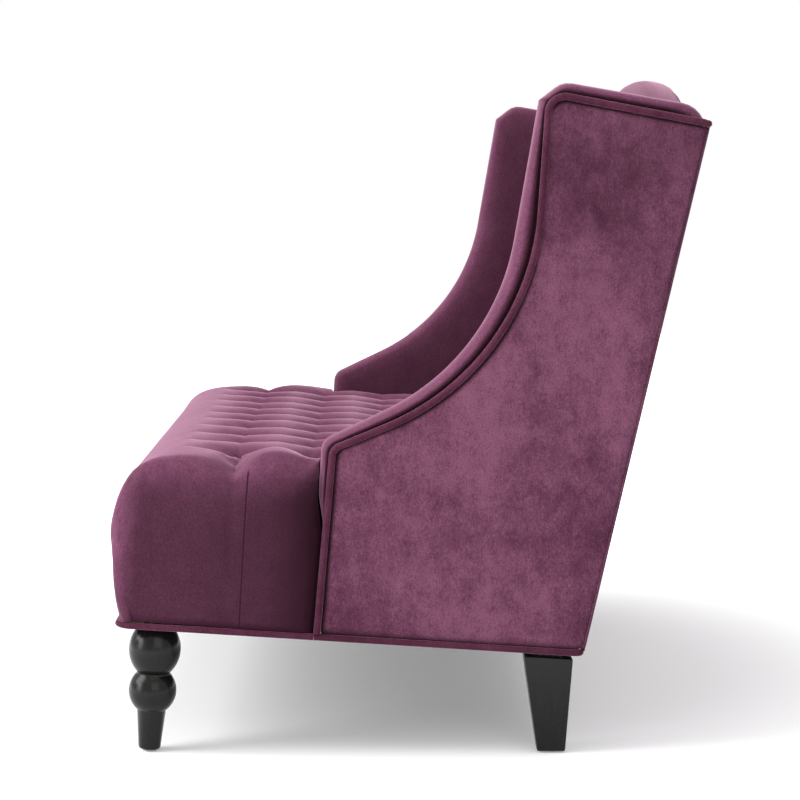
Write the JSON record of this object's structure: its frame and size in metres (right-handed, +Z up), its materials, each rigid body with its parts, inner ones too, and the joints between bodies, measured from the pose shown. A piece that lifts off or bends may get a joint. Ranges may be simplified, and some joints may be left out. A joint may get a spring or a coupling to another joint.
{
  "type": "high back settee",
  "caption": "High back settee with tight tufted velvet seat and back, S-curve wings with padded edge roll and welt, arched crest, turned front legs and tapered rear legs.",
  "frame": {"origin": "on the floor below the middle of the bounding box", "axes": "+X across to the sitter's left, -Y to the front, +Z up"},
  "size_m": [1.1818, 0.838, 0.9616],
  "materials": {
    "velvet": "satin",
    "frame_wood": "matte",
    "plywood": "matte",
    "black_wood": "satin",
    "spring_steel": "satin",
    "zinc_steel": "satin",
    "webbing": "matte",
    "felt": "matte",
    "cambric": "matte",
    "nylon": "matte"
  },
  "bodies": {
    "root": {"back_buttons": "velvet", "back_cushion": "velvet", "back_lower_rail": "frame_wood", "back_post_left": "frame_wood", "back_post_right": "frame_wood", "back_rail": "frame_wood", "back_stile": "frame_wood", "back_straps": "webbing", "bottom_welt_front": "velvet", "bottom_welt_rear": "velvet", "corner_blocks": "frame_wood", "crest_roll": "velvet", "dust_cover": "cambric", "edge_roll_left": "velvet", "edge_roll_right": "velvet", "foot_glides": "nylon", "front_legs": "black_wood", "front_rail": "frame_wood", "inner_pad_left": "velvet", "inner_pad_right": "velvet", "leg_plates": "zinc_steel", "leg_studs": "zinc_steel", "outside_back_panel": "velvet", "outside_panel_left": "velvet", "outside_panel_right": "velvet", "rear_legs": "black_wood", "seat_brace_left": "frame_wood", "seat_brace_right": "frame_wood", "seat_buttons": "velvet", "seat_cushion": "velvet", "seat_deck": "felt", "seat_rail_left": "frame_wood", "seat_rail_right": "frame_wood", "seat_springs": "spring_steel", "side_frame_left": "plywood", "side_frame_right": "plywood", "side_welt_left": "velvet", "side_welt_right": "velvet", "spring_clips": "zinc_steel", "top_rail": "frame_wood"}
  },
  "joints": []
}
